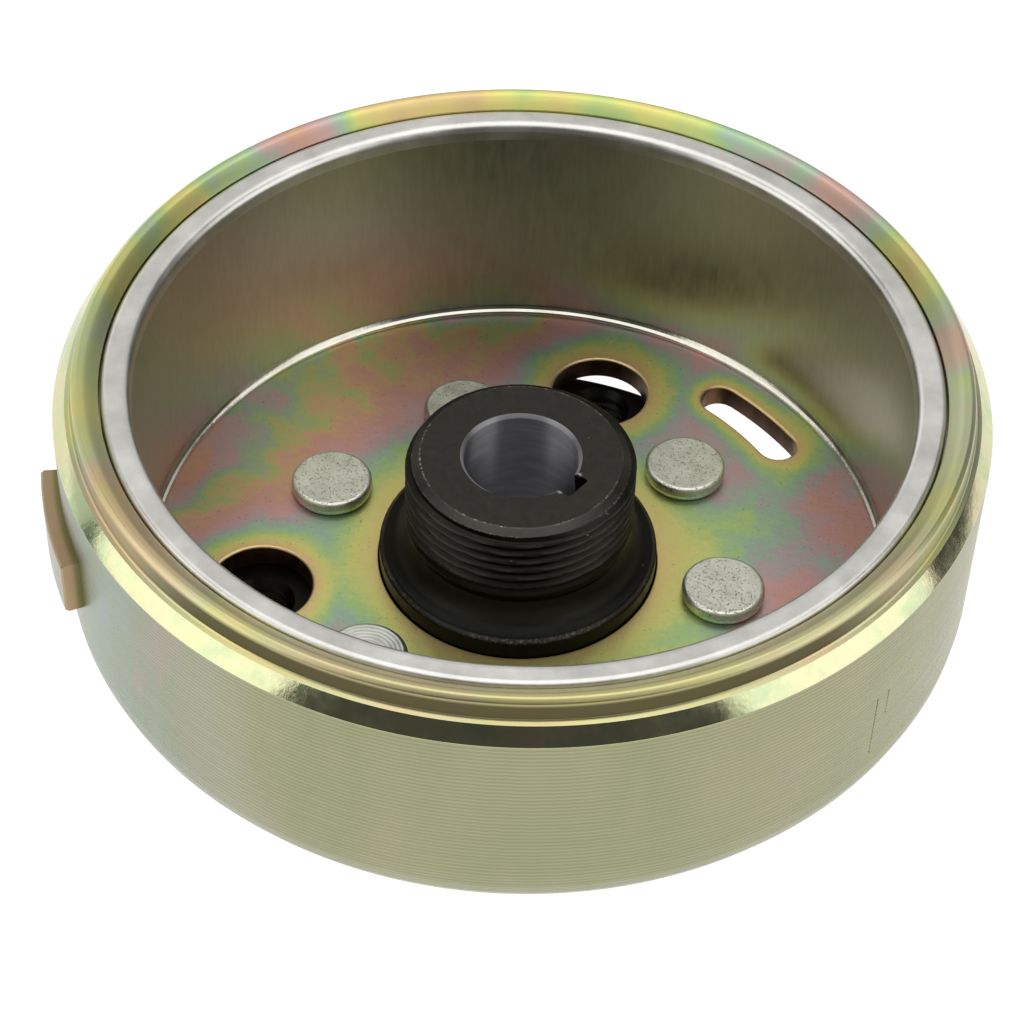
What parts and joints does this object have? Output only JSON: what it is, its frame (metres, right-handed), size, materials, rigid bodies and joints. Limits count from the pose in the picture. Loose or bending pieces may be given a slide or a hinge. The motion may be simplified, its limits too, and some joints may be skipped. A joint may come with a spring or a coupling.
{
  "type": "flywheel",
  "caption": "Engine magneto flywheel: a riveted drum with a magnet ring inside its wall, a curved slot, and a threaded, keyed taper hub.",
  "frame": {"origin": "on the rotation axis, at the hub's back face, which is the lowest face", "axes": "+Z along the rotation axis towards the drum's open mouth; +Y towards the middle of one of the three bolt holes"},
  "size_m": [0.116, 0.116, 0.0437],
  "materials": {
    "yellow_zinc_steel": "turned steel, yellow zinc passivated, iridescent",
    "black_oxide_steel": "machined steel, black oxide, oiled",
    "sleeve_steel": "drawn sheet steel, satin",
    "seat_ring_aluminium": "plain",
    "spacer_plastic": "moulded",
    "ferrite_magnet": "sintered ferrite, matt",
    "zinc_rivet_steel": "zinc plated steel, satin with small pits"
  },
  "bodies": {
    "root": {"drum": "yellow_zinc_steel", "hub": "black_oxide_steel", "magnet_sleeve": "sleeve_steel", "magnet_seat_ring": "seat_ring_aluminium", "magnet_1": "ferrite_magnet", "magnet_2": "ferrite_magnet", "magnet_3": "ferrite_magnet", "magnet_4": "ferrite_magnet", "magnet_5": "ferrite_magnet", "magnet_6": "ferrite_magnet", "magnet_spacer_1": "spacer_plastic", "magnet_spacer_2": "spacer_plastic", "magnet_spacer_3": "spacer_plastic", "magnet_spacer_4": "spacer_plastic", "magnet_spacer_5": "spacer_plastic", "magnet_spacer_6": "spacer_plastic", "rivet_1": "zinc_rivet_steel", "rivet_2": "zinc_rivet_steel", "rivet_3": "zinc_rivet_steel", "rivet_4": "zinc_rivet_steel", "rivet_5": "zinc_rivet_steel", "rivet_6": "zinc_rivet_steel"}
  },
  "joints": []
}
